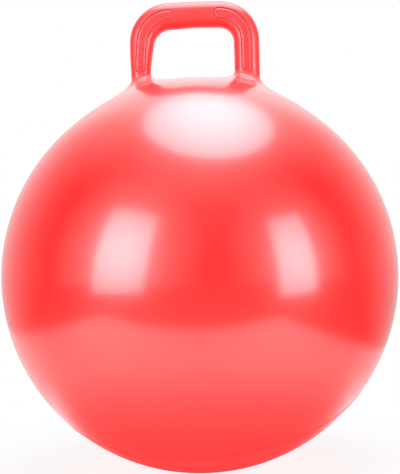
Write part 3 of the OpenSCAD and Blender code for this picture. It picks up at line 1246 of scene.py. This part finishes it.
class HOPPER_OT_stage(bpy.types.Operator):
    """Builds the floor, the room, the lights and the camera"""

    bl_idname = "hopper.stage"
    bl_label = "Stage"

    def execute(self, context):
        sizes = settings()
        studio, ball = sizes.studio, sizes.ball
        scene = bpy.context.scene
        scene.view_settings.view_transform = "Standard"
        middle = ball.radius - ball.settle
        self.world(scene, studio)
        self.floor(studio)
        facing_panel("softbox_left", *LEFT_BOX, middle, studio.left_box)
        facing_panel("softbox_right", *RIGHT_BOX, middle, studio.right_box)
        turn = np.linspace(0, 2 * math.pi, TOP_CORNERS, endpoint=False)
        deep = np.where(np.sin(turn) > 0, TOP_BACK, TOP_FRONT)
        outline = np.stack([TOP_WIDE * np.cos(turn), deep * np.sin(turn)], 1) + TOP_MIDDLE
        place = (0, 0, middle + TOP_HEIGHT)
        glow_panel(
            "softbox_above", outline, *TOP_GLOW, place, (1, 0, 0), (0, 1, 0), studio.top_box
        )
        self.camera(scene, studio, middle)
        return {"FINISHED"}

    def world(self, scene, studio):
        """White to the camera; to the rest a dim room with a pale wall behind the ball."""
        scene.world = bpy.data.worlds.new("studio_room")
        scene.world.use_nodes = True
        scene.world.node_tree.nodes.clear()
        graph = Graph(scene.world.node_tree)
        scene.world.cycles.sampling_method = "NONE"
        seen, mirrored, spread = light_path(graph)
        way = graph.node("ShaderNodeTexCoord", out="Generated")
        back, above = graph.axis(way, "Y"), graph.axis(way, "Z")
        wall = (back - WALL_START).at_least(0.0) * (WALL_LEVEL + WALL_UP * above) * studio.wall
        high = (HIGH_BACK * back + HIGH_UP * above).smooth(*HIGH_EDGE) * studio.high_wall
        ceiling = above.smooth(*CEILING_EDGE) * studio.ceiling
        screens = 0.0
        for azimuth, lift, reach, part in SCREENS:
            edge = math.cos(math.radians(reach))
            near = graph.dot(way, towards(azimuth, lift)) - edge
            screens = (near * (part / (1 - edge))).at_least(0.0) + screens
        room = studio.room + (wall + high) + ceiling + screens * studio.screen
        strength = seen + mirrored * room + spread * studio.fill
        light = graph.node("ShaderNodeBackground", (), {"Color": WHITE, "Strength": strength})
        graph.node("ShaderNodeOutputWorld", (), {"Surface": light})

    def floor(self, studio):
        """A pale floor: white with a shadow to the camera, and to reflections a lit table with a
        painted shadow under the ball.
        """
        material, graph, place = surface_graph("pale_floor")
        x, y = graph.axis(place, "X"), graph.axis(place, "Y")
        reach = graph.node("ShaderNodeVectorMath", {"operation": "LENGTH"}, {0: place}, "Value")
        table = x.smooth(*TABLE_LEFT) * (1.0 - x.smooth(*TABLE_RIGHT)) * y.smooth(*TABLE_NEAR)
        front = TABLE_REAR_PART + TABLE_FRONT_PART * (1.0 - y.smooth(*TABLE_FRONT))
        sides = SIDE_LEVEL - LEFT_LESS * x.smooth(*LEFT_REACH) + RIGHT_MORE * x.smooth(*RIGHT_REACH)
        wall = (y / reach - WALL_START) * (WALL_LEVEL * studio.wall)
        # Painted shadow under the ball
        under = TABLE_SHADOW_LEVEL
        for part, low, high in TABLE_SHADOW_STEPS:
            under = under + part * reach.smooth(low, high)
        beside = y.smooth(*REAR_EDGE) * (x * x).smooth(*BESIDE) * (1.0 - reach.smooth(*REAR_REACH))
        level = (table * front * sides * studio.table).at_least(wall)
        level = level * under * (1.0 + REAR_LIGHT * beside)
        seen, mirrored, spread = light_path(graph)
        red = mirrored * (1.0 - reach.smooth(*GLOW_REACH)) * studio.red_glow
        table_top = graph.glow(WHITE, mirrored * level + spread * studio.bounce)
        table_top = graph.node("ShaderNodeAddShader", (), {0: table_top, 1: graph.glow(RED, red)})
        shaded = graph.node("ShaderNodeBsdfDiffuse", (), {"Color": PALE})
        near_ball = (1.0 - reach.smooth(*SHADOW_REACH)) * studio.shadow
        shown = {0: near_ball, 1: graph.glow(WHITE, 1.0), 2: shaded}
        shown = graph.node("ShaderNodeMixShader", (), shown)
        surface = graph.node("ShaderNodeMixShader", (), {0: seen, 1: table_top, 2: shown})
        graph.node("ShaderNodeOutputMaterial", (), {"Surface": surface})
        mesh = bpy.data.meshes.new("pale_floor")
        corners = ((-1, -1), (1, -1), (1, 1), (-1, 1))
        points = [(FLOOR_HALF * i, FLOOR_HALF * j, -FLOOR_DEPTH) for i, j in corners]
        mesh.from_pydata(points, [], [(0, 1, 2, 3)])
        material.cycles.emission_sampling = "NONE"
        mesh.materials.append(material)
        show("pale_floor", mesh)

    def camera(self, scene, studio, middle):
        """A camera in front of the ball, a little above its middle."""
        lens = bpy.data.cameras.new("studio_camera")
        lens.sensor_width = SENSOR
        lens.lens = studio.focal_pixels * SENSOR / max(FRAME_PIXELS)
        rise_angle, roll = studio.camera_rise, studio.camera_roll
        forward = Vector((0, math.cos(rise_angle), -math.sin(rise_angle)))
        place = Vector((0, 0, middle)) - forward * studio.camera_distance
        right, up = Vector((1, 0, 0)), Vector((0, math.sin(rise_angle), math.cos(rise_angle)))
        turned_right = right * math.cos(roll) - up * math.sin(roll)
        turned_up = right * math.sin(roll) + up * math.cos(roll)
        beside = (studio.ball_pixel[0] - FRAME_PIXELS[0] / 2) / studio.focal_pixels
        below = (studio.ball_pixel[1] - FRAME_PIXELS[1] / 2) / studio.focal_pixels
        ahead = (forward - turned_right * beside + turned_up * below).normalized()
        turned_right = (turned_right - ahead * turned_right.dot(ahead)).normalized()
        turned_up = turned_right.cross(ahead)
        eye = bpy.data.objects.new("studio_camera", lens)
        eye.matrix_world = Matrix.Translation(place) @ Matrix(
            (turned_right, turned_up, -ahead)
        ).transposed().to_4x4()
        scene.collection.objects.link(eye)
        scene.camera = eye


class HOPPER_PT_panel(bpy.types.Panel):
    """Lists the steps and the sizes of the hopper ball"""

    bl_idname = "HOPPER_PT_panel"
    bl_label = "Hopper ball"
    bl_space_type = "VIEW_3D"
    bl_region_type = "UI"
    bl_category = "Hopper ball"

    def draw(self, context):
        for step in STEPS:
            self.layout.operator(step.bl_idname)
        for group in ("ball", "handle", "valve", "finish", "studio"):
            values = getattr(context.scene.hopper_ball, group)
            box = self.layout.box()
            box.label(text=group.capitalize())
            for name in values.__annotations__:
                box.prop(values, name)


STEPS = (
    HOPPER_OT_skin,
    HOPPER_OT_mould_line,
    HOPPER_OT_handle,
    HOPPER_OT_pips,
    HOPPER_OT_valve_seat,
    HOPPER_OT_valve_plug,
    HOPPER_OT_stage,
)
GROUPS = (BallSizes, HandleSizes, ValveSizes, Finishes, Studio, HopperBall)
CLASSES = (*GROUPS, *STEPS, HOPPER_PT_panel)


def register():
    for entry in CLASSES:
        bpy.utils.register_class(entry)
    bpy.types.Scene.hopper_ball = PointerProperty(type=HopperBall)


def unregister():
    del bpy.types.Scene.hopper_ball
    for entry in reversed(CLASSES):
        bpy.utils.unregister_class(entry)


def main():
    register()
    bpy.ops.hopper.skin()
    bpy.ops.hopper.mould_line()
    bpy.ops.hopper.handle()
    bpy.ops.hopper.pips()
    bpy.ops.hopper.valve_seat()
    bpy.ops.hopper.valve_plug()
    bpy.ops.hopper.stage()


if __name__ == "__main__":
    main()
